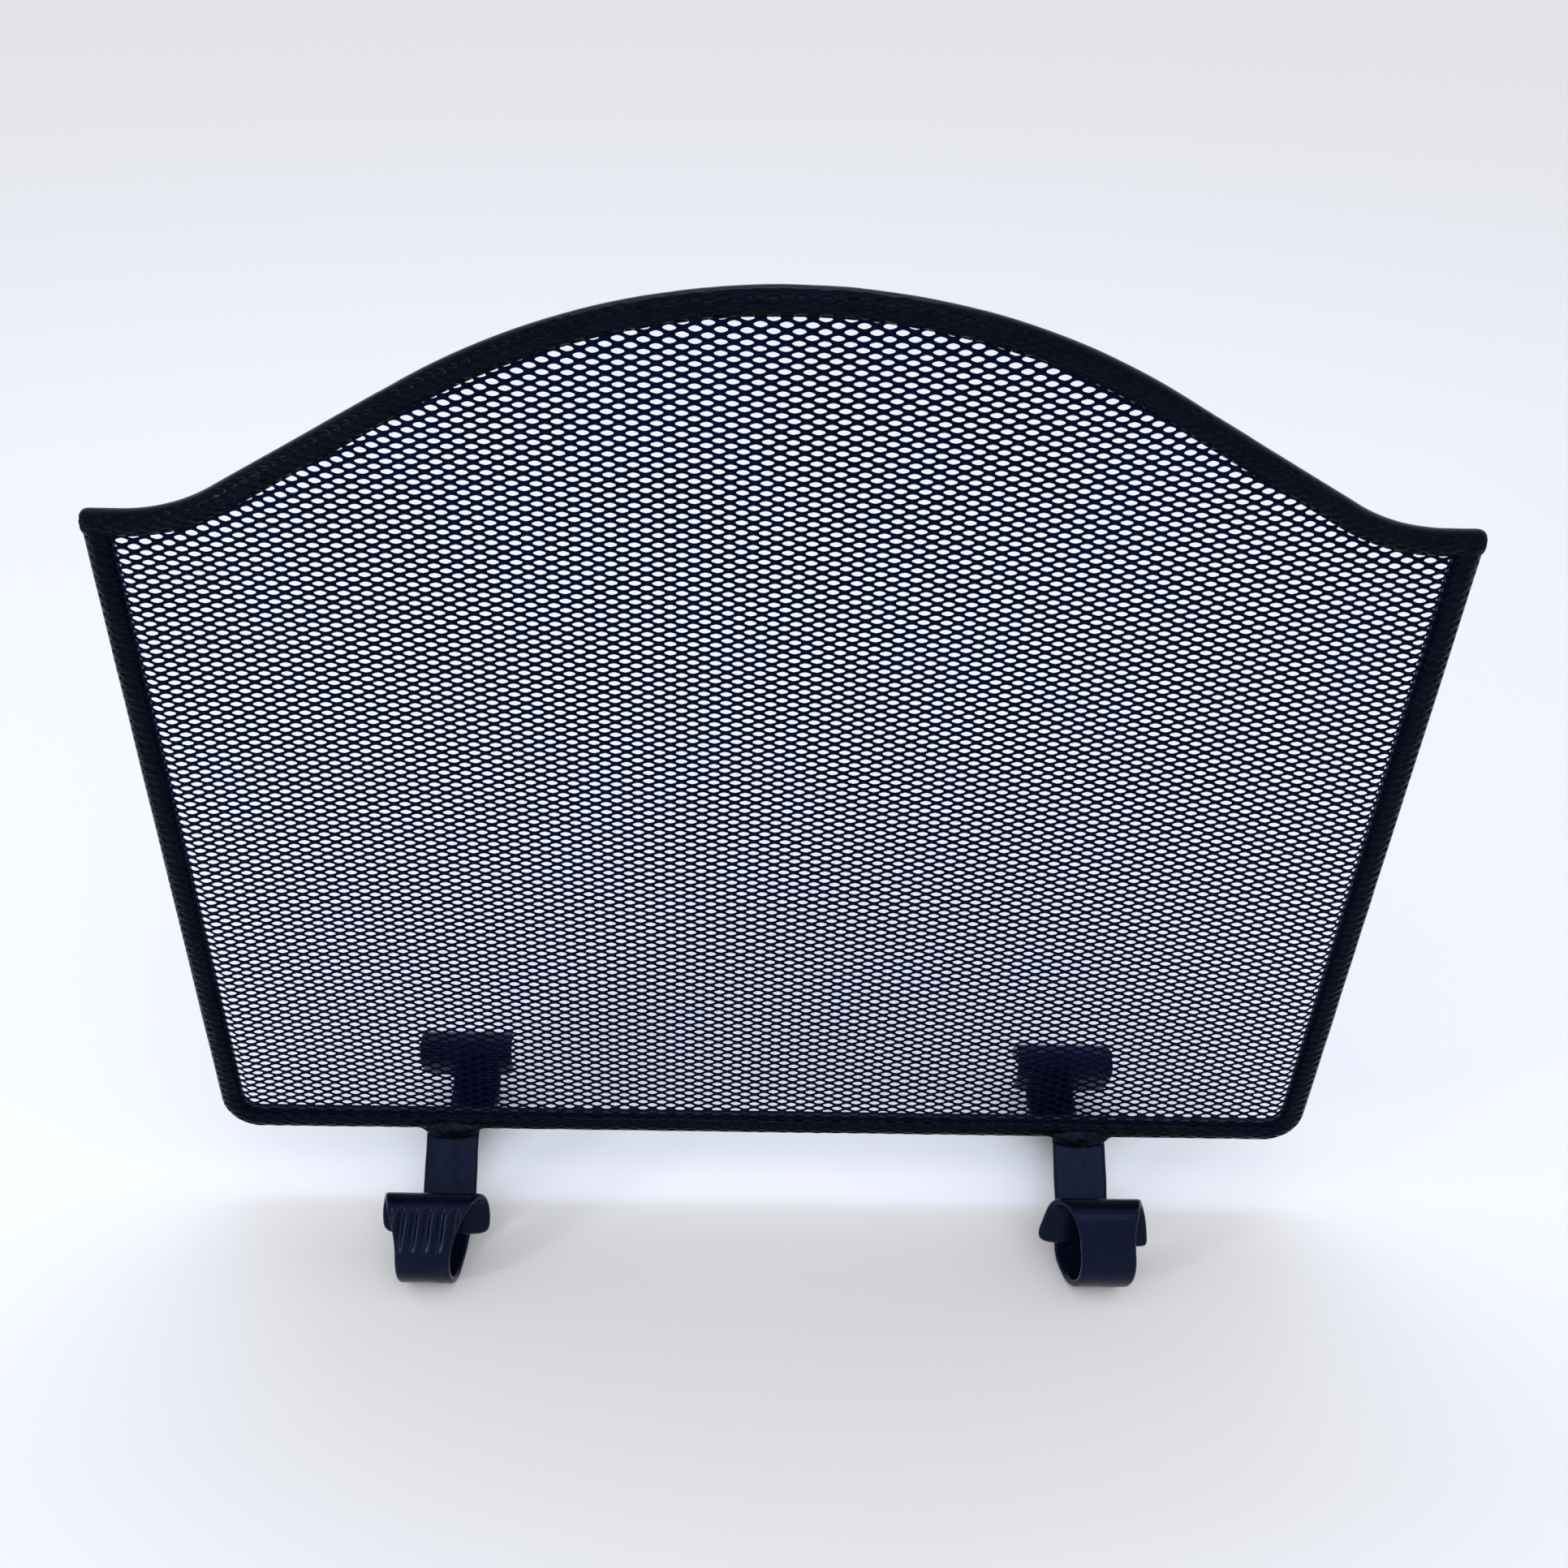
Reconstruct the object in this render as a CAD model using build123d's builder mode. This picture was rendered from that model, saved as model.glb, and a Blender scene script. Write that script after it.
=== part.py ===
from build123d import *
from math import cos, radians, sin
import os

# Fireplace screen: a bent and welded bar frame with a sheet of expanded metal stretched over it,
# standing on two forged strap feet.  Millimetres.  X runs along the screen, the room side is -Y,
# the fire side is +Y and Z is up.  The origin is on the floor, midway between the four scrolls.

# --- driving dimensions ---------------------------------------------------------------------------
SCREEN_WIDTH = 588.0         # outside of the wrapped frame
RAIL_HEIGHT = 49.5           # centre of the bottom bar above the floor
CROWN_HEIGHT = 490.0         # centre of the top bar at its highest point
SHOULDER_HEIGHT = 395.0      # centre of the top bar at its level ends
BAR_DIAMETER = 10.0
SHEET_THICKNESS = 1.0        # expanded metal, over its strands
CORNER_RADIUS = 14.0         # bend of the bar at the bottom corners, at its centre

CROWN_RADIUS = 318.0         # convex middle of the top bar
SHOULDER_RADIUS = 91.0       # concave sweep at each end of the top bar
CROWN_SLOPE = 28.7           # degrees, where the top bar is steepest
HEM_GAP = 120.0              # degrees of the bar that the folded edge of the sheet leaves bare

FOOT_X = 172.0               # middle of each foot
STRAP_WIDTH = 28.5
STRAP_THICKNESS = 4.5
ARCH_RADIUS = 12.0           # centre line of the strap under the bottom bar
LEG_SLOPE = 39.0             # degrees below the horizontal
SCROLL_RADIUS = 17.75        # centre line of the lower curve of a scroll
BEARING_LENGTH = 6.0         # flat that stands on the floor
WALL_TURN = 127.0            # degrees turned from the floor to the outer wall
WALL_LENGTH = 18.2
TIP_RADIUS = 8.75            # centre line of the upper curve of a scroll
TIP_TURN = 100.0             # degrees turned from the top of a scroll to its cut end
TIP_LENGTH = 15.5
FISHTAIL_ROOT_HEIGHT = 30.0  # where the outer wall starts to widen
FISHTAIL_TOP_WIDTH = 50.0    # width over the top of a scroll
FISHTAIL_END_WIDTH = 57.0    # width at the cut end
FISHTAIL_DROP = 31.0         # height of the tip, from the top of a scroll down to its cut end
FOOT_REACH = 90.0            # more than half of a foot, front to back

BEAD_RADIUS = 5.0            # weld between the bottom bar and the strap
BEAD_OFFSET = 6.2            # from the middle of the bottom bar, front and back
BEAD_HEIGHT = 43.6
BEAD_LENGTH = 30.0

# --- values that follow ---------------------------------------------------------------------------
bar_radius = BAR_DIAMETER / 2
hem_radius = bar_radius + SHEET_THICKNESS
side_x = SCREEN_WIDTH / 2 - hem_radius
screen_end = SCREEN_WIDTH / 2
bar_end = side_x + bar_radius

slope_sin = sin(radians(CROWN_SLOPE))
slope_cos = cos(radians(CROWN_SLOPE))
curve_drop = (CROWN_RADIUS + SHOULDER_RADIUS) * (1 - slope_cos)
slope_length = (CROWN_HEIGHT - SHOULDER_HEIGHT - curve_drop) / slope_sin
level_x = (CROWN_RADIUS + SHOULDER_RADIUS) * slope_sin + slope_length * slope_cos

strap_half = STRAP_THICKNESS / 2
arch_height = RAIL_HEIGHT - hem_radius - strap_half
leg_sin = sin(radians(LEG_SLOPE))
leg_curves_drop = (ARCH_RADIUS + SCROLL_RADIUS) * (1 - cos(radians(LEG_SLOPE)))
leg_length = (arch_height - strap_half - leg_curves_drop) / leg_sin

os.makedirs("parts", exist_ok=True)


def save(piece, name):
    """Names a finished piece and writes it to its own file."""
    piece.part.label = name
    export_step(piece.part, f"parts/{name}.step")


def across(path):
    """Plane across the start of a frame line: local x towards the fire, local y outwards."""
    return Plane(origin=path @ 0, x_dir=(0, 1, 0), z_dir=path % 0)


def draw_top(end_x):
    """Draws the top line from left to right: level, concave, straight, crown, and back down."""
    left_level = Line((-end_x, SHOULDER_HEIGHT), (-level_x, SHOULDER_HEIGHT))
    left_sweep = JernArc(left_level @ 1, left_level % 1, SHOULDER_RADIUS, CROWN_SLOPE)
    left_rise = PolarLine(left_sweep @ 1, slope_length, direction=left_sweep % 1)
    crown = JernArc(left_rise @ 1, left_rise % 1, CROWN_RADIUS, -2 * CROWN_SLOPE)
    right_fall = PolarLine(crown @ 1, slope_length, direction=crown % 1)
    right_sweep = JernArc(right_fall @ 1, right_fall % 1, SHOULDER_RADIUS, CROWN_SLOPE)
    Line(right_sweep @ 1, (end_x, SHOULDER_HEIGHT))


def draw_hem_section():
    """Draws the folded edge round the bar: a ring, open from the room side round to the inside."""
    Circle(hem_radius)
    Circle(bar_radius, mode=Mode.SUBTRACT)
    gap = [Vector(2 * hem_radius, 0).rotate(Axis.Z, 180 + HEM_GAP * step / 2) for step in range(3)]
    Polygon((0, 0), *gap, align=None, mode=Mode.SUBTRACT)


# --- frame ----------------------------------------------------------------------------------------
# The top bar lies on the ends of one long bar that is bent round the sides and the bottom.
with BuildPart() as top_bar:
    with BuildLine(Plane.XZ) as top_line:
        draw_top(bar_end)
    with BuildSketch(across(top_line.line)):
        Circle(bar_radius)
    sweep()
save(top_bar, "top_bar")

with BuildPart() as side_and_bottom_bar:
    with BuildLine(Plane.XZ) as bar_line:
        FilletPolyline(
            (side_x, SHOULDER_HEIGHT),
            (side_x, RAIL_HEIGHT),
            (-side_x, RAIL_HEIGHT),
            (-side_x, SHOULDER_HEIGHT),
            radius=CORNER_RADIUS,
        )
    with BuildSketch(across(bar_line.line)):
        Circle(bar_radius)
    sweep()
    add(top_bar.part, mode=Mode.SUBTRACT)
save(side_and_bottom_bar, "side_and_bottom_bar")

# --- mesh sheet -----------------------------------------------------------------------------------
# The flat field lies against the room side of the bars, and its edges are folded round them.
with BuildPart() as mesh_field:
    with BuildSketch(Plane.XZ.offset(bar_radius)):
        with BuildLine():
            draw_top(side_x)
            FilletPolyline(
                (side_x, SHOULDER_HEIGHT),
                (side_x, RAIL_HEIGHT),
                (-side_x, RAIL_HEIGHT),
                (-side_x, SHOULDER_HEIGHT),
                radius=CORNER_RADIUS,
            )
        make_face()
    extrude(amount=SHEET_THICKNESS)
save(mesh_field, "mesh_field")

above_corner = RAIL_HEIGHT + CORNER_RADIUS + SHEET_THICKNESS
side_hem_top = SHOULDER_HEIGHT - hem_radius

with BuildPart() as mesh_hem_top:
    with BuildLine(Plane.XZ) as hem_line:
        draw_top(screen_end)
    with BuildSketch(across(hem_line.line)):
        draw_hem_section()
    sweep()
    with BuildSketch(Plane.XY.offset(side_hem_top)):
        with Locations((-side_x, 0), (side_x, 0)):
            Circle(hem_radius)
    extrude(amount=hem_radius, mode=Mode.SUBTRACT)
save(mesh_hem_top, "mesh_hem_top")

with BuildPart() as mesh_hem_bottom:
    with BuildLine(Plane.XZ) as hem_line:
        FilletPolyline(
            (side_x, above_corner),
            (side_x, RAIL_HEIGHT),
            (-side_x, RAIL_HEIGHT),
            (-side_x, above_corner),
            radius=CORNER_RADIUS,
        )
    with BuildSketch(across(hem_line.line)):
        draw_hem_section()
    sweep()
save(mesh_hem_bottom, "mesh_hem_bottom")

with BuildPart() as mesh_hem_right:
    with BuildLine(Plane.XZ) as hem_line:
        Line((side_x, side_hem_top), (side_x, above_corner))
    with BuildSketch(across(hem_line.line)):
        draw_hem_section()
    sweep()
save(mesh_hem_right, "mesh_hem_right")

with BuildPart() as mesh_hem_left:
    mirror(mesh_hem_right.part, about=Plane.YZ)
save(mesh_hem_left, "mesh_hem_left")

# Weld over each end of the top bar, flush with the end of the folded sheet.
for name, plane in (
    ("corner_weld_left", Plane.YZ.offset(-screen_end)),
    ("corner_weld_right", Plane.YZ.offset(bar_end)),
):
    with BuildPart() as corner_weld:
        with BuildSketch(plane):
            with Locations((0, SHOULDER_HEIGHT)):
                Circle(bar_radius)
        extrude(amount=SHEET_THICKNESS)
    save(corner_weld, name)

# --- feet -----------------------------------------------------------------------------------------
# Each foot is one strap: an arch under the bottom bar, a leg down each side, and a scroll at each
# end whose tip is forged out to a fishtail.  Each half is drawn outwards from the bottom bar.


def draw_leg():
    """Draws half of the arch, the leg and the strap's bearing on the floor."""
    arch = JernArc((0, arch_height), (1, 0), ARCH_RADIUS, -LEG_SLOPE)
    leg = PolarLine(arch @ 1, leg_length, direction=arch % 1)
    heel = JernArc(leg @ 1, leg % 1, SCROLL_RADIUS, LEG_SLOPE)
    return PolarLine(heel @ 1, BEARING_LENGTH, direction=heel % 1)


def draw_wall(start, direction):
    """Draws the outer wall of a scroll, from the floor to its top."""
    toe = JernArc(start, direction, SCROLL_RADIUS, WALL_TURN)
    wall = PolarLine(toe @ 1, WALL_LENGTH, direction=toe % 1)
    return JernArc(wall @ 1, wall % 1, TIP_RADIUS, 180 - WALL_TURN)


def draw_tip(start, direction):
    """Draws the tip of a scroll, from its top down to the cut end."""
    curl = JernArc(start, direction, TIP_RADIUS, TIP_TURN)
    PolarLine(curl @ 1, TIP_LENGTH, direction=curl % 1)


def flare(*levels):
    """Corners of a strap of changing width, seen end on, from its (width, height) levels upwards."""
    right = [(width / 2, height) for width, height in levels]
    left = [(-width / 2, height) for width, height in reversed(levels)]
    return right + left


with BuildLine() as strap_line:
    bearing = draw_leg()
    crest = draw_wall(bearing @ 1, bearing % 1)

toe_point = bearing @ 1
crest_point = crest @ 1
crest_height = crest_point.Y + strap_half
cut_height = crest_height - FISHTAIL_DROP

up = Vector(0, 0, 1)

for side, outward in (("left", -1), ("right", 1)):
    foot_x = outward * FOOT_X
    halves = []
    for reach in (Vector(0, -1, 0), Vector(0, 1, 0)):
        profile_plane = Plane(origin=(foot_x, 0, 0), x_dir=reach, z_dir=reach.cross(up))
        end_plane = Plane(origin=(foot_x, 0, 0), x_dir=up.cross(reach), z_dir=reach)

        with BuildPart() as leg:
            with BuildSketch(profile_plane):
                with BuildLine():
                    draw_leg()
                trace(line_width=STRAP_THICKNESS)
            extrude(amount=STRAP_WIDTH / 2, both=True)

        # The wall widens from the strap's own width to the top of the scroll.
        with BuildPart() as wall:
            with BuildSketch(profile_plane):
                with BuildLine():
                    draw_wall(toe_point, bearing % 1)
                trace(line_width=STRAP_THICKNESS)
            extrude(amount=FISHTAIL_END_WIDTH / 2, both=True)
            with BuildSketch(end_plane):
                root = (STRAP_WIDTH, 0), (STRAP_WIDTH, FISHTAIL_ROOT_HEIGHT)
                Polygon(*flare(*root, (FISHTAIL_TOP_WIDTH, crest_height)), align=None)
            extrude(amount=FOOT_REACH, mode=Mode.INTERSECT)

        # The tip goes on widening as it comes down to its cut end.
        with BuildPart() as tip:
            with BuildSketch(profile_plane):
                with BuildLine():
                    draw_tip(crest_point, crest % 1)
                trace(line_width=STRAP_THICKNESS)
            extrude(amount=FISHTAIL_END_WIDTH / 2, both=True)
            with BuildSketch(end_plane):
                end = (FISHTAIL_END_WIDTH, cut_height), (FISHTAIL_TOP_WIDTH, crest_height)
                Polygon(*flare(*end), align=None)
            extrude(amount=FOOT_REACH, mode=Mode.INTERSECT)

        halves += [leg.part, wall.part, tip.part]

    with BuildPart() as foot:
        add(halves)
    save(foot, f"foot_{side}")

    # Beads in the notches between the wrapped bottom bar and the arch, cut to fit both.
    strap_plane = Plane.YZ.offset(foot_x)
    with BuildPart() as weld:
        with BuildSketch(strap_plane):
            with Locations((-BEAD_OFFSET, BEAD_HEIGHT), (BEAD_OFFSET, BEAD_HEIGHT)):
                Circle(BEAD_RADIUS)
        extrude(amount=BEAD_LENGTH / 2, both=True)
        with BuildSketch(strap_plane):
            with Locations((0, RAIL_HEIGHT)):
                Circle(hem_radius)
        extrude(amount=BEAD_LENGTH / 2, both=True, mode=Mode.SUBTRACT)
        add(foot.part, mode=Mode.SUBTRACT)
    save(weld, f"foot_weld_{side}")
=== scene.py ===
import math

import bpy
import numpy as np
from mathutils import Matrix, Vector


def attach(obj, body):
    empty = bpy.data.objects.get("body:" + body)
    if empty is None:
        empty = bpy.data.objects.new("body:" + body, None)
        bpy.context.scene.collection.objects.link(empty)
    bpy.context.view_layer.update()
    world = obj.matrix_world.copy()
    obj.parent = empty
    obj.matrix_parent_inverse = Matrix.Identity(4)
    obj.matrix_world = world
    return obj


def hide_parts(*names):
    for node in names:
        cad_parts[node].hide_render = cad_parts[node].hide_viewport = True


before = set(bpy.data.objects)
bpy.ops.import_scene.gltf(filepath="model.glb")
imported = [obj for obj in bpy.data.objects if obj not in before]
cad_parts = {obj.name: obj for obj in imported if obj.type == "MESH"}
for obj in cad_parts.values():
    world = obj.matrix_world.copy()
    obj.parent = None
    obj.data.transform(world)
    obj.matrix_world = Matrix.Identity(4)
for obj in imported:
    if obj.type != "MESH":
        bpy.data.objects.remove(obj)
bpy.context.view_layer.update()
print("CAD nodes:", sorted(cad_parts))

# %% [markdown]
# The CAD model gives the exact frame of the screen.  Here its plain plate becomes real expanded
# metal, its smooth folded edges become painted mesh, and its feet become hand-forged straps.
# Every length is written in millimetres and turned into metres when a piece is made.

# %% Dimensions of the screen
HALF_WIDTH = 288.0  # centre line of the side bars
RAIL_HEIGHT = 49.5  # centre line of the bottom bar
SHOULDER_HEIGHT = 395.0  # centre line of the top bar at its level ends
CROWN_HEIGHT = 490.0
CROWN_RADIUS = 318.0
SHOULDER_RADIUS = 91.0
CROWN_SLOPE = math.radians(28.7)
CORNER_RADIUS = 14.0
BAR_RADIUS = 5.0
BAND_RADIUS = 6.0  # bar with the folded mesh round it
SHEET_Y = -5.5  # middle of the sheet where it leaves the bars

sweep_drop = (CROWN_RADIUS + SHOULDER_RADIUS) * (1 - math.cos(CROWN_SLOPE))
straight = (CROWN_HEIGHT - SHOULDER_HEIGHT - sweep_drop) / math.sin(CROWN_SLOPE)
level_x = (CROWN_RADIUS + SHOULDER_RADIUS) * math.sin(CROWN_SLOPE) + straight * math.cos(CROWN_SLOPE)
print(f"the top line is level beyond {level_x:.1f} mm from the middle")

# %% [markdown]
# Expanded metal is slit and stretched, so its diamonds stand in staggered rows.  The long way of
# a diamond runs along the screen and the short way runs up it.

# %% Dimensions of the mesh
LONG_WAY = 10.0
SHORT_WAY = 4.458
OPENING_LENGTH = 5.55
OPENING_HEIGHT = 2.0
STRAND_THICKNESS = 0.95
STRAND_TILT = 0.35  # how far a strand leans, per millimetre across it
LATTICE_TURN = math.radians(-0.46)
LATTICE_CENTRE = (1.5, 270.0)
SAG = 5.4  # the middle of the sheet bows to the fire side by this much
SAG_REACH = 150.0  # how far in from the bars the bow is full
SINK = 2.6  # how far the sheet goes under the paint at the bars
STRIP_EDGES = (-300, -190, -95, 0, 95, 190, 300)  # the sheet is made in six strips


# %% [markdown]
# Soft noise gives hand work its small irregularities.  It has no random numbers in it, so the
# same script always builds the same screen.


# %% Soft noise
def soft_noise(u, v, size, seed):
    """Soft height from -1 to 1 over a plane, with bumps about `size` wide.

    Each corner (i, j) of a square grid gets h = 2 frac(43758.5 sin(127.1 i + 311.7 j + 74.7 seed)) - 1.
    A point takes the mix of its four corners, weighted by 3 t^2 - 2 t^3 along both sides.
    """
    column, row = np.floor(u / size), np.floor(v / size)
    s, t = u / size - column, v / size - row
    s, t = s * s * (3 - 2 * s), t * t * (3 - 2 * t)

    def corner(i, j):
        wave = 43758.5 * np.sin(127.1 * (column + i) + 311.7 * (row + j) + 74.7 * seed)
        return 2 * (wave - np.floor(wave)) - 1

    near = (1 - s) * corner(0, 0) + s * corner(1, 0)
    far = (1 - s) * corner(0, 1) + s * corner(1, 1)
    return (1 - t) * near + t * far


def smooth_step(low, high, value):
    """0 below `low`, 1 above `high`, and 3 t^2 - 2 t^3 between them."""
    t = np.clip((value - low) / (high - low), 0, 1)
    return t * t * (3 - 2 * t)


# %% [markdown]
# All new pieces are made by one function.  It takes whole arrays of points and faces, turns the
# faces outwards if they point inwards, and says what it made.


# %% Making a piece from arrays
def make_piece(name, points, faces, stands_for, material):
    """Builds a smooth mesh object from points in millimetres and a list of face index arrays.

    The signed volume, the sum of a . (b x c) / 6 over all triangles, is positive when faces point
    outwards.  If it's negative, every face is reversed.
    """
    points = np.asarray(points, float).reshape(-1, 3) * 0.001
    volume = 0.0
    for face in faces:
        for k in range(1, face.shape[1] - 1):
            a, b, c = points[face[:, 0]], points[face[:, k]], points[face[:, k + 1]]
            volume += np.einsum("ij,ij->", a, np.cross(b, c)) / 6
    if volume < 0:
        faces = [face[:, ::-1] for face in faces]
    sizes = np.concatenate([np.full(len(face), face.shape[1]) for face in faces])
    corners = np.concatenate([face.ravel() for face in faces])
    mesh = bpy.data.meshes.new(name)
    mesh.vertices.add(len(points))
    mesh.vertices.foreach_set("co", points.ravel())
    mesh.loops.add(len(corners))
    mesh.loops.foreach_set("vertex_index", corners.astype(np.int32))
    mesh.polygons.add(len(sizes))
    mesh.polygons.foreach_set("loop_start", np.concatenate([[0], np.cumsum(sizes)[:-1]]).astype(np.int32))
    mesh.polygons.foreach_set("use_smooth", np.ones(len(sizes), bool))
    mesh.update(calc_edges=True)
    mesh.materials.append(material)
    piece = bpy.data.objects.new(name, mesh)
    bpy.context.scene.collection.objects.link(piece)
    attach(piece, "root")
    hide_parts(*stands_for)
    print(f"{name}: {int((sizes - 2).sum())} triangles, {abs(volume) * 1e6:.1f} cm3")
    return piece


def tube_faces(rings, around):
    """Faces of a closed tube: quads between rings and a fan of triangles over each end.

    Point j of ring i has index i * around + j.  The two pole points come after the last ring.
    """
    i = np.arange(rings - 1)[:, None] * around
    j = np.arange(around)[None, :]
    k = (j + 1) % around
    quads = np.stack([i + j, i + k, i + around + k, i + around + j], axis=-1).reshape(-1, 4)
    last = (rings - 1) * around
    pole = np.full(around, rings * around)
    first_fan = np.stack([k[0], j[0], pole], axis=-1)
    last_fan = np.stack([last + j[0], last + k[0], pole + 1], axis=-1)
    return [quads, np.concatenate([first_fan, last_fan])]


def close_tube(rings):
    """Adds the two poles, each the mean of its end ring, to an array of rings of points."""
    poles = np.stack([rings[0].mean(axis=0), rings[-1].mean(axis=0)])
    return np.concatenate([rings.reshape(-1, 3), poles])


# %% [markdown]
# The paint is a satin black with a blue cast.  A shader needs linear colours, so one function
# turns the usual sRGB hex code into them.


# %% Materials
def linear(code):
    """Linear RGBA of an sRGB hex code: c / 12.92 below 0.04045, else ((c + 0.055) / 1.055)^2.4."""
    srgb = [int(code[i : i + 2], 16) / 255 for i in (0, 2, 4)]
    return [c / 12.92 if c <= 0.04045 else ((c + 0.055) / 1.055) ** 2.4 for c in srgb] + [1.0]


def add_node(tree, kind, inputs=None, **settings):
    """Adds a shader node, sets its options, and sets or links its inputs."""
    node = tree.nodes.new(kind)
    for key, value in settings.items():
        setattr(node, key, value)
    for key, value in (inputs or {}).items():
        if isinstance(value, bpy.types.NodeSocket):
            tree.links.new(value, node.inputs[key])
        else:
            node.inputs[key].default_value = value
    return node


def colour_mix(tree, blend, factor, first, second):
    """Mixes two colours and returns the result; sockets 6 and 7 of the node are its colours."""
    mix = tree.nodes.new("ShaderNodeMix")
    mix.data_type = "RGBA"
    mix.blend_type = blend
    for socket, value in ((0, factor), (6, first), (7, second)):
        if isinstance(value, bpy.types.NodeSocket):
            tree.links.new(value, mix.inputs[socket])
        else:
            mix.inputs[socket].default_value = value
    return mix.outputs[2]


BLUE_GLINT = "a8c2ff"  # tint of every highlight on the paint


def black_paint(
    name, dark, light, patch_mm, roughness, grain_mm, grain_height_mm, gloss, has_hollow_shade=False
):
    """Black paint on steel, with soft patches of a lighter tone and a fine grain in its surface.

    One noise of size `patch_mm` mixes the two tones and the roughness.  A finer noise of size
    `grain_mm` and height `grain_height_mm` tilts the surface.  `gloss` is the specular level.
    Where a piece's own shade attribute is 1, in the filled openings of a folded edge, the paint
    is dull, and its colour is darkened to a fifth as painted shade in these recesses.
    """
    material = bpy.data.materials.new(name)
    material.use_nodes = True
    tree = material.node_tree
    shader = tree.nodes["Principled BSDF"]
    shader.inputs["Specular IOR Level"].default_value = gloss
    shader.inputs["Specular Tint"].default_value = linear(BLUE_GLINT)
    place = add_node(tree, "ShaderNodeTexCoord").outputs["Object"]
    broad = {"Vector": place, "Scale": 1000 / patch_mm, "Detail": 4.0, "Roughness": 0.6}
    patch = add_node(tree, "ShaderNodeTexNoise", broad).outputs["Fac"]
    contrast = {"Value": patch, "From Min": 0.35, "From Max": 0.68}
    spread = add_node(tree, "ShaderNodeMapRange", contrast).outputs["Result"]
    tone = colour_mix(tree, "MIX", spread, linear(dark), linear(light))
    sheen_range = {"From Min": 0.3, "From Max": 0.7, "To Min": roughness - 0.07, "To Max": roughness + 0.09}
    sheen = add_node(tree, "ShaderNodeMapRange", {"Value": patch, **sheen_range}).outputs["Result"]
    # Painted shade: the colour is darkened to a fifth in the filled openings, standing in for the shade in
    # these recesses.
    if has_hollow_shade:
        hollow_shade = add_node(tree, "ShaderNodeAttribute", attribute_name="hollow_shade").outputs["Fac"]
        tone = colour_mix(tree, "MULTIPLY", hollow_shade, tone, (0.2, 0.2, 0.2, 1.0))
        dull = {"Value": hollow_shade, "To Min": 0.0, "To Max": 0.6}
        extra = add_node(tree, "ShaderNodeMapRange", dull).outputs["Result"]
        total = add_node(tree, "ShaderNodeMath", {0: sheen, 1: extra}, operation="ADD")
        sheen = total.outputs["Value"]
    tree.links.new(tone, shader.inputs["Base Color"])
    tree.links.new(sheen, shader.inputs["Roughness"])
    fine = {"Vector": place, "Scale": 1000 / grain_mm, "Detail": 3.0, "Roughness": 0.55}
    grain = add_node(tree, "ShaderNodeTexNoise", fine).outputs["Fac"]
    relief = {"Height": grain, "Strength": 1.0, "Distance": grain_height_mm * 0.001}
    bump = add_node(tree, "ShaderNodeBump", relief)
    tree.links.new(bump.outputs["Normal"], shader.inputs["Normal"])
    return material


# Satin black enamel on the thin strands of the mesh.
mesh_paint = black_paint("black_enamel_on_mesh", "00031a", "020826", 60, 0.42, 2.0, 0.03, 0.06)
# The same enamel, thick enough on the folded edges to half fill the openings, whose darkening is painted
# shade.
band_paint = black_paint("black_enamel_on_folded_mesh", "010205", "04050b", 25, 0.20, 2.5, 0.08, 0.10, True)
# Enamel on the plain round bars.
bar_paint = black_paint("black_enamel_on_round_bar", "030409", "07080f", 30, 0.30, 3.0, 0.04, 0.15)
# Enamel on hammered strap.
forged_paint = black_paint("black_enamel_on_forged_steel", "050819", "0b0e21", 18, 0.26, 4.0, 0.10, 0.17)
# Enamel over weld beads, which stay glossier.
weld_paint = black_paint("black_enamel_on_weld", "030409", "07080f", 6, 0.26, 2.0, 0.06, 0.15)
print("materials:", [m.name for m in bpy.data.materials])

# %% [markdown]
# The outline of the screen is needed twice: as a height above every x, and as a depth inside the
# bars.  Both follow from the same lines and arcs as in the CAD model.


# %% The outline of the screen
def top_height(x):
    """Centre line of the top bar: level, then a concave arc, a straight slope and the crown arc.

    The crown is z = top - R + sqrt(R^2 - x^2).  The concave arc is z = shoulder + r -
    sqrt(r^2 - (level - |x|)^2).  The slope joins them at the steepest angle.
    """
    x = np.abs(x)
    crown = CROWN_HEIGHT - CROWN_RADIUS + np.sqrt(np.maximum(CROWN_RADIUS**2 - x**2, 0))
    inward = np.clip(level_x - x, 0, SHOULDER_RADIUS)
    concave = SHOULDER_HEIGHT + SHOULDER_RADIUS - np.sqrt(SHOULDER_RADIUS**2 - inward**2)
    crown_end = CROWN_RADIUS * math.sin(CROWN_SLOPE)
    crown_edge = CROWN_HEIGHT - CROWN_RADIUS * (1 - math.cos(CROWN_SLOPE))
    slope = crown_edge - (x - crown_end) * math.tan(CROWN_SLOPE)
    slope_end = crown_end + straight * math.cos(CROWN_SLOPE)
    return np.where(x < crown_end, crown, np.where(x < slope_end, slope, concave))


def depth_inside(x, z):
    """Distance in from the nearest bar's centre line, negative outside it.

    The sides and the bottom are a box with rounded corners.  Under the top bar the drop to the bar
    is multiplied by the cosine of the bar's slope there, taken over 1 mm.
    """
    side, rail = HALF_WIDTH - np.abs(x), z - RAIL_HEIGHT
    corner = CORNER_RADIUS - np.hypot(CORNER_RADIUS - side, CORNER_RADIUS - rail)
    in_corner = (side < CORNER_RADIUS) & (rail < CORNER_RADIUS)
    box = np.where(in_corner, corner, np.minimum(side, rail))
    slope = (top_height(x + 0.5) - top_height(x - 0.5))
    return np.minimum(box, (top_height(x) - z) / np.sqrt(1 + slope**2))


heights = top_height(np.array([0.0, 150.0, 288.0]))
print("height of the top line at 0, 150 and 288 mm:", np.round(heights, 1))

# %% [markdown]
# One opening of the mesh is a cell with four rings of twelve points.  The outer rings run along
# the middle of the strands, in front and behind, and are shared with the neighbours.  The inner
# rings are the rounded edge of the opening.

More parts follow.
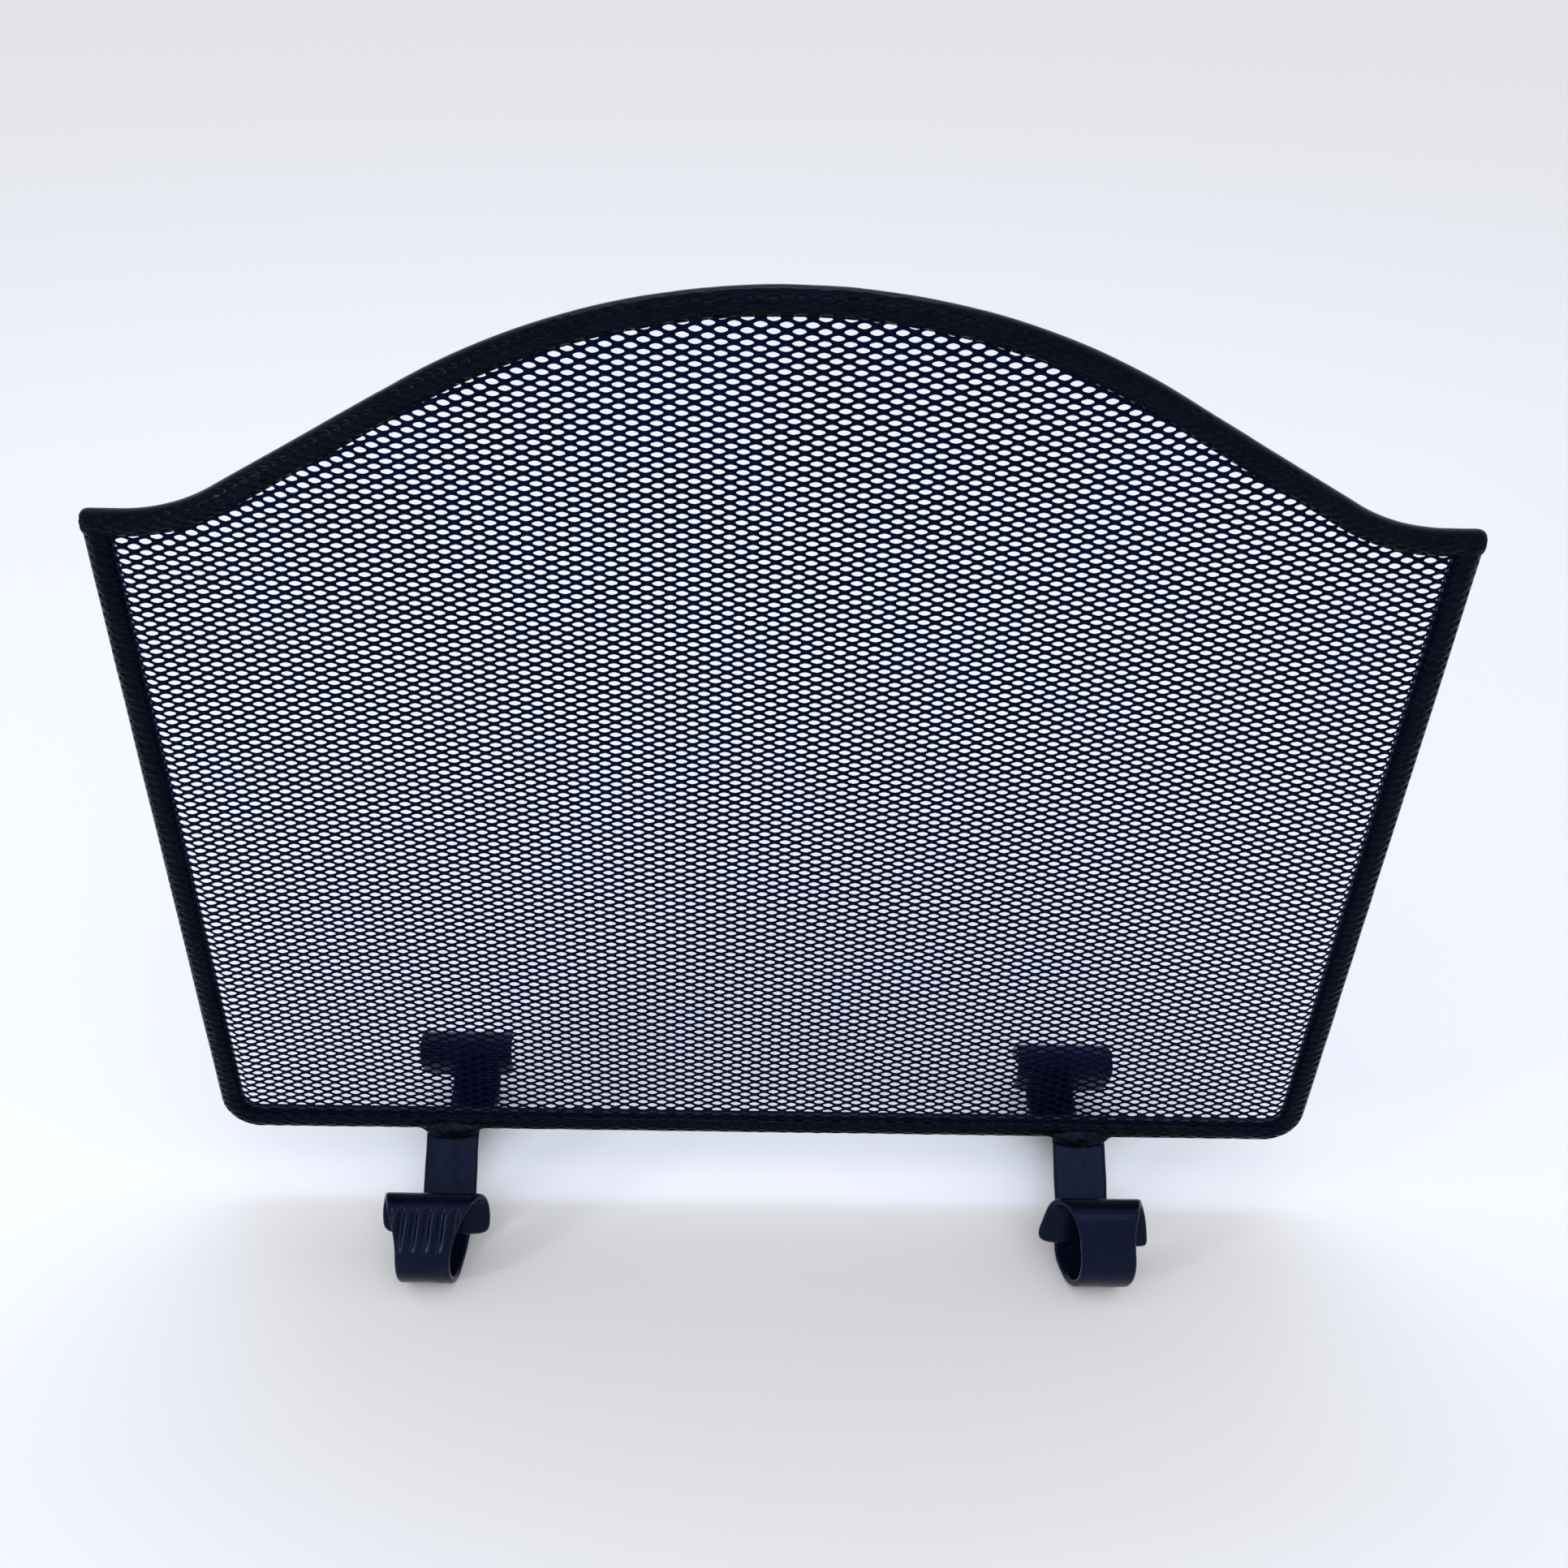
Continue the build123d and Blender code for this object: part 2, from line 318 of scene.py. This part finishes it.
# %% One cell of expanded metal
turn = np.radians(30.0 * np.arange(12))
ease = 1.25  # a power a little over 1 draws an ellipse in towards a diamond
lens_x = OPENING_LENGTH / 2 * np.sign(np.cos(turn)) * np.abs(np.cos(turn)) ** ease
lens_z = OPENING_HEIGHT / 2 * np.sign(np.sin(turn)) * np.abs(np.sin(turn)) ** ease
lens = np.stack([lens_x, lens_z], axis=-1).round(6)
quarter = np.arange(12) % 3 / 3
tips = np.array([[LONG_WAY / 2, 0], [0, SHORT_WAY / 2], [-LONG_WAY / 2, 0], [0, -SHORT_WAY / 2]])
corner_number = np.arange(12) // 3
diamond = tips[corner_number] * (1 - quarter)[:, None] + tips[(corner_number + 1) % 4] * quarter[:, None]
across_strand = lens[:, 1] - np.sign(lens[:, 1]) * SHORT_WAY / 2 * (1 - np.abs(lens[:, 0]) / (LONG_WAY / 2))
lean = -STRAND_TILT * across_strand
print("strand width across its bond:", round(SHORT_WAY - OPENING_HEIGHT, 2), "mm")


# %% [markdown]
# The sheet isn't flat.  It sags to the fire side between the bars, waves a little, and sinks
# under the paint of the folded edge where it reaches the bars.


# %% The shape of the whole sheet
def place_on_sheet(x, z, y):
    """Moves points of the flat lattice to where they lie on the sheet.

    y = sheet + thickness + sag (1 - (1 - min(d / reach, 1))^2) + sink, where d is the depth inside
    the bars.  The sink fades out 13 mm in from their centre line.  Small waves are added in all
    three directions.
    """
    wave_x = 0.25 * soft_noise(x, z, 34.0, 1)
    wave_z = 0.18 * soft_noise(x, z, 41.0, 2)
    d = depth_inside(x, z)
    far_in = 1 - np.clip(d / SAG_REACH, 0, 1)
    bow = SAG * (1 - far_in**2) + 0.35 * soft_noise(x, z, 55.0, 3) * smooth_step(0, 40, d)
    sink = SINK * (1 - smooth_step(4.5, 13.0, d))
    return np.stack([x + wave_x, SHEET_Y + y + bow + sink, z + wave_z], axis=-1)


def lattice_points(along, up):
    """Turns lattice steps into x and z: half long ways along and half short ways up, turned a little."""
    a, b = along * LONG_WAY / 2, up * SHORT_WAY / 2
    x = LATTICE_CENTRE[0] + a * math.cos(LATTICE_TURN) - b * math.sin(LATTICE_TURN)
    z = LATTICE_CENTRE[1] + a * math.sin(LATTICE_TURN) + b * math.cos(LATTICE_TURN)
    return x, z


# %% [markdown]
# Each strip of the sheet is built in one go.  Points that neighbouring cells share are found by
# their place in the flat lattice and merged, and the strip's border is closed with a last row of
# faces.


# %% The field of the mesh, in strips
MERGE_DISTANCE = 0.02


def mesh_strip(name, x_from, x_to):
    """Builds the cells whose centres lie between two values of x and inside the bars."""
    along, up = np.meshgrid(np.arange(-66, 67), np.arange(-110, 111))
    staggered = (along + up) % 2 == 0
    along, up = along[staggered], up[staggered]
    x, z = lattice_points(along, up)
    keep = (x >= x_from) & (x < x_to) & (depth_inside(x, z) > 1.0)
    x, z = x[keep], z[keep]
    cells = len(x)

    def laid(ring, y):
        ring_x = ring[:, 0] * math.cos(LATTICE_TURN) - ring[:, 1] * math.sin(LATTICE_TURN)
        ring_z = ring[:, 0] * math.sin(LATTICE_TURN) + ring[:, 1] * math.cos(LATTICE_TURN)
        px, pz = x[:, None] + ring_x, z[:, None] + ring_z
        return np.stack([px, pz, np.broadcast_to(y, px.shape)], axis=-1).reshape(-1, 3)

    half = STRAND_THICKNESS / 2
    layers = [
        laid(diamond, -half),
        laid(lens, lean - 0.5 * half),
        laid(lens, lean + 0.5 * half),
        laid(diamond, half),
    ]
    flat = np.concatenate(layers)
    keys = np.round(flat / MERGE_DISTANCE).astype(np.int64)
    unique, first, number = np.unique(keys, axis=0, return_index=True, return_inverse=True)
    number = number.reshape(4, cells, 12)
    following = np.roll(number, -1, axis=2)
    walls = []
    for k in range(3):
        wall = np.stack([number[k], following[k], following[k + 1], number[k + 1]], axis=-1)
        walls.append(wall.reshape(-1, 4))
    # Edges of the outer ring that only one cell uses are the border of the strip.
    front = np.stack([number[0], following[0]], axis=-1).reshape(-1, 2)
    back = np.stack([number[3], following[3]], axis=-1).reshape(-1, 2)
    ordered = np.sort(front, axis=1)
    edge_key = ordered[:, 0] * (len(unique) + 1) + ordered[:, 1]
    _, where, uses = np.unique(edge_key, return_inverse=True, return_counts=True)
    border = uses[where] == 1
    rim = np.stack([back[border, 0], back[border, 1], front[border, 1], front[border, 0]], axis=-1)
    points = place_on_sheet(flat[first, 0], flat[first, 1], flat[first, 2])
    make_piece(name, points, [*walls, rim], ["mesh_field"], mesh_paint)


for number, (x_from, x_to) in enumerate(zip(STRIP_EDGES, STRIP_EDGES[1:]), start=1):
    mesh_strip(f"mesh_field_{number}", x_from, x_to)

# %% [markdown]
# The edge of the sheet is folded round the bars and painted over.  A folded edge is a tube along
# the bar.  Its surface carries the same lattice, as if the sheet were unrolled, so the dimples go
# on where the open field stops.


# %% The pattern of a painted fold
def dimple(x, z):
    """Depth from 0 to 1 of the paint-filled opening at a point of the unrolled sheet.

    With da and db the distances to the nearest opening's centre, over half its length and height,
    q = (da^1.6 + db^1.6)^(1/1.6), and the depth falls from 1 at q = 0.5 to 0 at q = 1.1.
    """
    x, z = x - LATTICE_CENTRE[0], z - LATTICE_CENTRE[1]
    a = (x * math.cos(LATTICE_TURN) + z * math.sin(LATTICE_TURN)) / LONG_WAY
    b = (z * math.cos(LATTICE_TURN) - x * math.sin(LATTICE_TURN)) / SHORT_WAY
    nearest = None
    for shift in (0.0, 0.5):
        da = np.abs(a - shift - np.round(a - shift)) * LONG_WAY / (OPENING_LENGTH / 2)
        db = np.abs(b - shift - np.round(b - shift)) * SHORT_WAY / (OPENING_HEIGHT / 2)
        q = (da**1.6 + db**1.6) ** (1 / 1.6)
        nearest = q if nearest is None else np.minimum(nearest, q)
    return 1 - smooth_step(0.5, 1.1, nearest)


def path_points(start, heading, steps, spacing):
    """Points, headings and lengths along a line of straight and round steps.

    A step is (length, turn).  Its heading grows evenly, h = h0 + turn s / length, and its points are
    the running sum of (cos h, sin h) taken at the middle of each small move.
    """
    headings, moves = [], []
    for length, bend in steps:
        count = max(2, int(round(length / spacing)))
        middle = (np.arange(count) + 0.5) / count
        headings.append(heading + bend * middle)
        moves.append(np.full(count, length / count))
        heading += bend
    headings, moves = np.concatenate(headings), np.concatenate(moves)
    run = np.stack([np.cos(headings), np.sin(headings)], axis=-1) * moves[:, None]
    points = np.concatenate([[start], np.asarray(start) + np.cumsum(run, axis=0)])
    lengths = np.concatenate([[0], np.cumsum(moves)])
    at_points = np.concatenate([headings[:1], (headings[1:] + headings[:-1]) / 2, headings[-1:]])
    return points, at_points, lengths


# %% [markdown]
# Round the bar, the angle starts at the front and grows outwards.  Past the back it comes to the
# cut edge of the sheet, where the band steps down to the bar that it leaves bare.


# %% The folded edges
AROUND = 60  # points around one section of a folded edge
PATH_SPACING = 0.62  # length of one step along it
BARE_RADIUS = BAR_RADIUS - 0.1  # the fire side of a fold, just inside the bar


def folded_edge(name, start, heading, steps, ends, stands_for, seed):
    """Builds one folded edge as a tube along a path of the frame, with its outward side on the left.

    The radius is r(angle) = 6 - dimples - lumps, and 4.9 mm where the bar is bare.  An end with
    roundness n closes as r (1 - (1 - s/6)^n)^(1/n) over its last 6 mm; an end of 0 stays open.
    """
    points, headings, lengths = path_points(start, heading, steps, PATH_SPACING)
    angle = np.linspace(0, 2 * np.pi, AROUND, endpoint=False)[None, :]
    normal = np.stack([-np.sin(headings), np.cos(headings)], axis=-1)
    signed = np.where(angle > 4.5, angle - 2 * np.pi, angle)
    flat = points[:, None, :] + normal[:, None, :] * (BAND_RADIUS * signed)[:, :, None]
    s = lengths[:, None]
    # Paint fills the openings most on the outside, where it runs, and least on the front.
    front = smooth_step(-1.35, -0.9, signed) * (1 - smooth_step(0.35, 1.15, signed))
    patchy = 0.85 + 0.6 * soft_noise(s, signed * BAND_RADIUS, 7.0, seed)
    pulled = 1.1 * soft_noise(s, signed * BAND_RADIUS, 8.0, seed + 4)
    cut = dimple(flat[:, :, 0] + pulled, flat[:, :, 1] + 0.5 * pulled)
    cut = cut * (0.05 + 1.5 * front) * np.clip(patchy, 0.25, 1.25)
    fine_lump = 0.15 * (1 + soft_noise(s, signed * BAND_RADIUS, 3.0, seed + 1)) * front
    broad_lump = 0.10 * (1 + soft_noise(s, signed * BAND_RADIUS, 14.0, seed + 2))
    radius = BAND_RADIUS - cut - (fine_lump + broad_lump)
    edge = 4.1 + 0.09 * soft_noise(s, s * 0, 5.0, seed + 3)
    bare_behind = smooth_step(edge, edge + 0.16, signed)
    bare = np.where(signed > 0, bare_behind, 1 - smooth_step(-1.66, -1.5, signed))
    radius = radius * (1 - bare) + BARE_RADIUS * bare
    for roundness, from_end in ((ends[0], s), (ends[1], lengths[-1] - s)):
        if roundness:
            toward = 1 - np.clip(from_end / BAND_RADIUS, 0, 1)
            radius = radius * np.maximum(1 - toward**roundness, 1e-4) ** (1 / roundness)
    out = radius * np.sin(angle)
    y = -radius * np.cos(angle)
    x = points[:, None, 0] + normal[:, None, 0] * out
    z = points[:, None, 1] + normal[:, None, 1] * out
    rings = close_tube(np.stack([x, y, z], axis=-1))
    faces = tube_faces(len(points), AROUND)
    piece = make_piece(name, rings, faces, stands_for, band_paint)
    # The darkening of each opening is painted shade that follows its depth. The two pole points aren't in a
    # hollow.
    fill = np.append(np.clip(cut / 0.9, 0, 1).ravel(), [0.0, 0.0])
    hollow_shade = piece.data.attributes.new("hollow_shade", "FLOAT", "POINT")
    hollow_shade.data.foreach_set("value", fill.astype(np.float32))


quarter_turn = math.pi / 2
end_x = HALF_WIDTH + BAND_RADIUS
top_steps = [
    (end_x - level_x, 0.0),
    (SHOULDER_RADIUS * CROWN_SLOPE, CROWN_SLOPE),
    (straight, 0.0),
    (2 * CROWN_RADIUS * CROWN_SLOPE, -2 * CROWN_SLOPE),
    (straight, 0.0),
    (SHOULDER_RADIUS * CROWN_SLOPE, CROWN_SLOPE),
    (end_x - level_x, 0.0),
]
folded_edge("folded_edge_top", (-end_x, SHOULDER_HEIGHT), 0.0, top_steps, (4, 4), ["mesh_hem_top"], 10)

rise = RAIL_HEIGHT + CORNER_RADIUS + 1
bottom_steps = [
    (1.0, 0.0),
    (CORNER_RADIUS * quarter_turn, -quarter_turn),
    (2 * (HALF_WIDTH - CORNER_RADIUS), 0.0),
    (CORNER_RADIUS * quarter_turn, -quarter_turn),
    (1.0, 0.0),
]
bottom_start = (HALF_WIDTH, rise)
folded_edge(
    "folded_edge_bottom", bottom_start, -quarter_turn, bottom_steps, (0, 0), ["mesh_hem_bottom"], 20
)

# The side folds end round, inside the fold of the top bar.
side_top = SHOULDER_HEIGHT + 5.6
side_step = [(side_top - rise, 0.0)]
right_start = (HALF_WIDTH, side_top)
left_start = (-HALF_WIDTH, rise)
folded_edge("folded_edge_right", right_start, -quarter_turn, side_step, (2, 0), ["mesh_hem_right"], 30)
folded_edge("folded_edge_left", left_start, quarter_turn, side_step, (0, 2), ["mesh_hem_left"], 40)

# %% [markdown]
# A foot is one strap: down from the bottom bar, flat on the floor, up round the scroll and over
# to a tip that hangs inside it.  Its rear half mirrors its front half.

# %% The line and width of a foot
FOOT_X = 172.0
STRAP_WIDTH = 28.5
STRAP_THICKNESS = 4.5
ARCH_RADIUS = 12.0
LEG_SLOPE = math.radians(39)
SCROLL_RADIUS = 17.75
BEARING_LENGTH = 6.0
WALL_TURN = math.radians(127)
WALL_LENGTH = 18.2
TIP_RADIUS = 8.75
TIP_TURN = math.radians(115)
TIP_LENGTH = 15.5
STRAP_STEP = 1.15  # length of one step along the strap
EDGE_ROUNDING = 1.75
FLUTE_SPACING = 7.2
FLUTE_DEPTH = 2.3
BACK_FACE_START = 400  # shifts the hammer marks of one face, so the two faces differ

arch_height = RAIL_HEIGHT - BAND_RADIUS - STRAP_THICKNESS / 2
leg_drop = arch_height - STRAP_THICKNESS / 2 - (ARCH_RADIUS + SCROLL_RADIUS) * (1 - math.cos(LEG_SLOPE))
foot_steps = [
    (ARCH_RADIUS * LEG_SLOPE, -LEG_SLOPE),
    (leg_drop / math.sin(LEG_SLOPE), 0.0),
    (SCROLL_RADIUS * LEG_SLOPE, LEG_SLOPE),
    (BEARING_LENGTH, 0.0),
    (SCROLL_RADIUS * WALL_TURN, WALL_TURN),
    (WALL_LENGTH, 0.0),
    (TIP_RADIUS * (math.pi - WALL_TURN), math.pi - WALL_TURN),
    (TIP_RADIUS * TIP_TURN, TIP_TURN),
    (TIP_LENGTH, 0.0),
]
bearing_end = sum(length for length, bend in foot_steps[:4])
print(f"one half of a foot is {sum(length for length, bend in foot_steps):.0f} mm of strap")


# %% [markdown]
# The strap's section is a rectangle with rounded corners.  Hammer marks dent its faces, and the
# front wall of the left foot has upright flutes where a narrow hammer drew it out.


# %% The forged feet
def strap_section(columns, corner_points):
    """Section of a strap as three arrays: the side (u), the face (v), and the angle at each corner.

    A point is (u (w/2 - r) + r cos a, v (t/2 - r) + r sin a) for width w, thickness t, radius r.
    """
    flat = np.linspace(-1, 1, columns)[1:-1]
    bend = np.linspace(0, quarter_turn, corner_points)
    one, flat_angle = np.ones(corner_points), np.full(columns - 2, quarter_turn)
    u = np.concatenate([one, -flat, -one, -one, flat, one])
    v = np.concatenate([one, np.ones(columns - 2), one, -one, -np.ones(columns - 2), -one])
    front_angles = [bend, flat_angle, bend + quarter_turn]
    back_angles = [bend + 2 * quarter_turn, flat_angle + math.pi, bend + 3 * quarter_turn]
    angle = np.concatenate(front_angles + back_angles)
    return u, v, angle


def forged_foot(name, x, drift, front, rear, lift, reach_front, fluted, seed, corners, longer, skew):
    """Builds one foot at x as a tube of strap sections along its line, from front tip to rear tip.

    `drift` is how far outward the strap's middle lies at eight lengths, from its rear tip to its
    front tip.
    `front` and `rear` hold where the flare of each half starts and ends, in mm past the floor, and
    the width at its tip.  `lift` raises the scroll of the rear half.  `reach_front` scales how far
    the front half stands out.  The rear tip's corners are cut back by corners[0] side^corners[1].
    The front and the rear tip are `longer` by so many mm, and the front tip's two sides differ by
    twice `skew`.
    """
    half_points, half_headings, half_lengths = path_points((0.0, arch_height), 0.0, foot_steps, STRAP_STEP)
    points = np.concatenate([half_points[:0:-1] * [-1, 1], half_points])
    headings = np.concatenate([-half_headings[:0:-1], half_headings])
    lengths = np.concatenate([-half_lengths[:0:-1], half_lengths])
    total = half_lengths[-1]
    s = np.abs(lengths)
    past_floor = s - bearing_end
    front_spread = smooth_step(*front[:2], past_floor)
    rear_spread = smooth_step(*rear[:2], past_floor)
    spread = np.where(lengths < 0, front_spread, rear_spread)
    width = STRAP_WIDTH + (np.where(lengths < 0, front[2], rear[2]) - STRAP_WIDTH) * spread
    thickness = STRAP_THICKNESS * (1 - 0.14 * spread)
    u, v, angle = strap_section(38, 4)
    a = u * (width[:, None] / 2 - EDGE_ROUNDING) + EDGE_ROUNDING * np.cos(angle)
    b = v * (thickness[:, None] / 2 - EDGE_ROUNDING) + EDGE_ROUNDING * np.sin(angle)
    face = np.sin(angle) ** 2
    side = np.where(v > 0, 1.0, -1.0)
    # Broad hammer marks and finer ones, pressed into both faces.
    place = lengths[:, None] + BACK_FACE_START * (side < 0)
    broad_dent = 0.16 * (1 + soft_noise(place, a, 9.0, seed))
    dent = broad_dent + 0.07 * (1 + soft_noise(place, a, 4.0, seed + 1))
    if fluted:
        up_wall = -lengths - bearing_end
        front_wall = smooth_step(34, 50, up_wall) * (1 - smooth_step(59, 62, up_wall))
        uneven = 1.4 * soft_noise(a, a * 0, 9.0, seed + 2)
        flute = np.sin(a * 2 * np.pi / FLUTE_SPACING + uneven) * 0.5 + 0.5
        dent = dent + front_wall[:, None] * FLUTE_DEPTH * flute**1.3 * (side < 0)
    b = b - side * face * dent
    # The cut ends are rounded over.
    closing = 1 - np.clip((total - s) / 2.2, 0, 1)
    b = b * (0.3 + 0.7 * np.sqrt(1 - closing**2))[:, None]
    a = a * (1 - 0.02 * closing**2)[:, None]
    # The edges wander a little in and out.
    a = a * (1 + 0.012 * soft_noise(lengths, lengths * 0, 12.0, seed + 3))[:, None]
    # The cut end is a shallow arc, so the middle of the strap reaches further than its sides.
    near_end = smooth_step(total - 14, total, s)[:, None]
    sides = a / (width[:, None] / 2)
    reach = np.abs(sides)
    front_corner = 3.6 * reach**16 * np.where(sides * skew > 0, 0.3, 1.0)
    front_cut = 1.2 * reach**2 + front_corner - skew * sides - longer[0]
    rear_cut = 1.2 * reach**2 + corners[0] * reach ** corners[1] - longer[1]
    rear_half = (lengths > 0)[:, None]
    back_off = np.where(rear_half, rear_cut, -front_cut) * near_end
    y = points[:, None, 0] - np.sin(headings)[:, None] * b - np.cos(headings)[:, None] * back_off
    z = points[:, None, 1] + np.cos(headings)[:, None] * b - np.sin(headings)[:, None] * back_off
    z = np.maximum(z, 0.0) + (lift * smooth_step(8, 45, past_floor) * (lengths > 0))[:, None]
    y = np.where(y < 0, y * reach_front, y)
    # The smith's scroll isn't square: its front wall stands further out than its leg and its tip.
    stations = [-total, 0, 45, 65, 105, 130, 150, total]
    outward = np.interp(-lengths, stations, drift) * math.copysign(1, x)
    outward = np.convolve(np.pad(outward, 8, mode="edge"), np.full(17, 1 / 17), mode="valid")
    rings = np.stack([x + outward[:, None] + a, y, z], axis=-1)
    faces = tube_faces(*rings.shape[:2])
    make_piece(name, close_tube(rings), faces, [name], forged_paint)


forged_foot(
    "foot_left",
    -FOOT_X,
    drift=(-1.5, -2.0, -2.2, 1.0, 4.6, 3.0, 0.0, 0.2),
    front=(36, 88, 56.0),
    rear=(24, 62, 53.0),
    lift=3.8,
    reach_front=1.0,
    fluted=True,
    seed=50,
    corners=(5.0, 5),
    longer=(0.0, 0.5),
    skew=0.0,
)
forged_foot(
    "foot_right",
    FOOT_X,
    drift=(3.9, 2.0, 2.2, 0.5, 8.0, 6.5, 4.0, 3.2),
    front=(46, 99, 58.5),
    rear=(10, 46, 54.5),
    lift=0.3,
    reach_front=0.955,
    fluted=False,
    seed=60,
    corners=(2.2, 14),
    longer=(3.4, 5.0),
    skew=1.2,
)

# %% [markdown]
# Weld holds each foot under the bottom bar, front and back, and closes the ends of the top bar.
# A bead is a short lumpy tube with rounded ends.


# %% The welds
def bead(centre, half_length, radii, tilt, seed):
    """Points and faces of a bead along x: its section is an ellipse, tilted by `tilt` degrees.

    It shrinks to its ends as (1 - (s / half)^2)^0.45, its surface has lumps of about 20 %, and its
    lower side is a quarter shorter than its upper side.
    """
    s = half_length * np.sin(np.linspace(-quarter_turn, quarter_turn, 48)[1:-1])[:, None]
    angle = np.linspace(0, 2 * np.pi, 36, endpoint=False)[None, :]
    along, round_it = s + 0 * angle, 6 * np.sin(angle)
    broad_lumps = 0.13 * soft_noise(along, round_it, 4.0, seed)
    lumps = 1 + broad_lumps + 0.07 * soft_noise(along, round_it, 1.8, seed + 1)
    shrink = (1 - (s / half_length) ** 2) ** 0.45 * lumps
    across, up = radii[0] * np.cos(angle) * shrink, radii[1] * np.sin(angle) * shrink
    lean = math.radians(tilt)
    y = centre[1] + across * math.cos(lean) + up * math.sin(lean)
    z = centre[2] - across * math.sin(lean) + up * math.cos(lean)
    ring = np.stack([centre[0] + s * (1 - 0.12 * (1 - np.sin(angle))), y, z], axis=-1)
    return close_tube(ring), tube_faces(*ring.shape[:2])


def weld_piece(name, beads):
    """Joins the beads of one weld into one piece that stands for the CAD node of the same name."""
    points, faces, count = [], [], 0
    for number, settings in enumerate(beads):
        bead_points, bead_faces = bead(*settings, 70 + 3 * number)
        points.append(bead_points)
        faces += [face + count for face in bead_faces]
        count += len(bead_points)
    make_piece(name, np.concatenate(points), faces, [name], weld_paint)


FOOT_WELD_SHIFT, FOOT_WELD_DEPTH, FOOT_WELD_HEIGHT = 2.0, 5.3, 46.2
FOOT_WELD_HALF_LENGTH, FOOT_WELD_TILT = 18.5, 30
CORNER_WELD_X, CORNER_WELD_HALF_LENGTH = 290.5, 3.4
for side, sign in (("left", -1), ("right", 1)):
    under_bar = []
    for end in (-1, 1):
        centre = (sign * FOOT_X + FOOT_WELD_SHIFT, end * FOOT_WELD_DEPTH, FOOT_WELD_HEIGHT)
        under_bar.append((centre, FOOT_WELD_HALF_LENGTH, (3.5, 5.6), -FOOT_WELD_TILT * end))
    weld_piece(f"foot_weld_{side}", under_bar)
    bar_end = (sign * CORNER_WELD_X, 0.0, SHOULDER_HEIGHT)
    weld_piece(f"corner_weld_{side}", [(bar_end, CORNER_WELD_HALF_LENGTH, (4.0, 4.0), 0)])

# %% [markdown]
# The bars themselves are the CAD nodes.  They only show on the fire side, where the folded edge
# stops short.

# %% Bars
for node in ("top_bar", "side_and_bottom_bar"):
    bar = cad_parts[node]
    bar.data.materials.clear()
    bar.data.materials.append(bar_paint)
print("bars painted")

# %% [markdown]
# The studio is a pale floor that runs far back, a strip light over the top bar, a wide
# one in front, and a small one on the left that picks out the forging.

# %% Floor and lights
floor_mesh = bpy.data.meshes.new("floor")
FLOOR_REACH = 15  # metres from the screen to each side of the floor
floor_corners = [(FLOOR_REACH * i, FLOOR_REACH * j, 0) for i, j in ((-1, -1), (1, -1), (1, 1), (-1, 1))]
floor_mesh.from_pydata(floor_corners, [], [(0, 1, 2, 3)])
floor = bpy.data.objects.new("floor", floor_mesh)
bpy.context.scene.collection.objects.link(floor)
floor_paint = bpy.data.materials.new("matt_white_floor")
floor_paint.use_nodes = True
floor_shader = floor_paint.node_tree.nodes["Principled BSDF"]
floor_shader.inputs["Base Color"].default_value = linear("f2f2f3")
floor_shader.inputs["Roughness"].default_value = 0.9
floor_mesh.materials.append(floor_paint)


def soft_light(name, place, aim, size, power, colour):
    """Adds an area light at `place`, turned to face `aim`; its size is (width, depth) in metres and
    its power is in watts."""
    lamp = bpy.data.lights.new(name, "AREA")
    lamp.shape = "RECTANGLE"
    lamp.size, lamp.size_y = size
    lamp.energy = power
    lamp.color = linear(colour)[:3]
    light = bpy.data.objects.new(name, lamp)
    light.location = place
    light.rotation_euler = (Vector(aim) - Vector(place)).to_track_quat("-Z", "Y").to_euler()
    bpy.context.scene.collection.objects.link(light)


soft_light("strip", (-0.1, 0.9, 2.1), (0, 0, 0.4), (1.6, 0.35), 11, "a8ccff")
soft_light("front", (0.2, -1.7, 2.1), (0, -0.5, 0.0), (1.6, 1.6), 11, "ffffff")
soft_light("left", (-2.0, -1.5, 0.9), (-0.1, 0, 0.1), (0.35, 0.35), 13, "f4f6ff")
world = bpy.data.worlds.new("studio")
bpy.context.scene.world = world
world.use_nodes = True
background = world.node_tree.nodes["Background"]
background.inputs["Color"].default_value = linear("f6f7fb")
background.inputs["Strength"].default_value = 0.92
bpy.context.scene.view_settings.view_transform = "Standard"
print("floor and three lights")

# %% [markdown]
# The camera stands in front of the screen and above it, and looks down by about 37 degrees.

# %% Camera
CAMERA_PLACE = (-0.02165, -0.6251, 0.67382)
CAMERA_YAW = math.radians(-0.175)
CAMERA_PITCH = math.radians(36.81)  # how far it looks down
CAMERA_ROLL = math.radians(0.936)

optics = bpy.data.cameras.new("camera")
optics.sensor_width = 36.0
optics.lens = 36.575
optics.shift_x = 0.0342
optics.shift_y = 0.0694
camera = bpy.data.objects.new("camera", optics)
bpy.context.scene.collection.objects.link(camera)
camera.matrix_world = (
    Matrix.Translation(CAMERA_PLACE)
    @ Matrix.Rotation(CAMERA_YAW, 4, "Z")
    @ Matrix.Rotation(math.radians(90) - CAMERA_PITCH, 4, "X")
    @ Matrix.Rotation(CAMERA_ROLL, 4, "Z")
)
bpy.context.scene.camera = camera
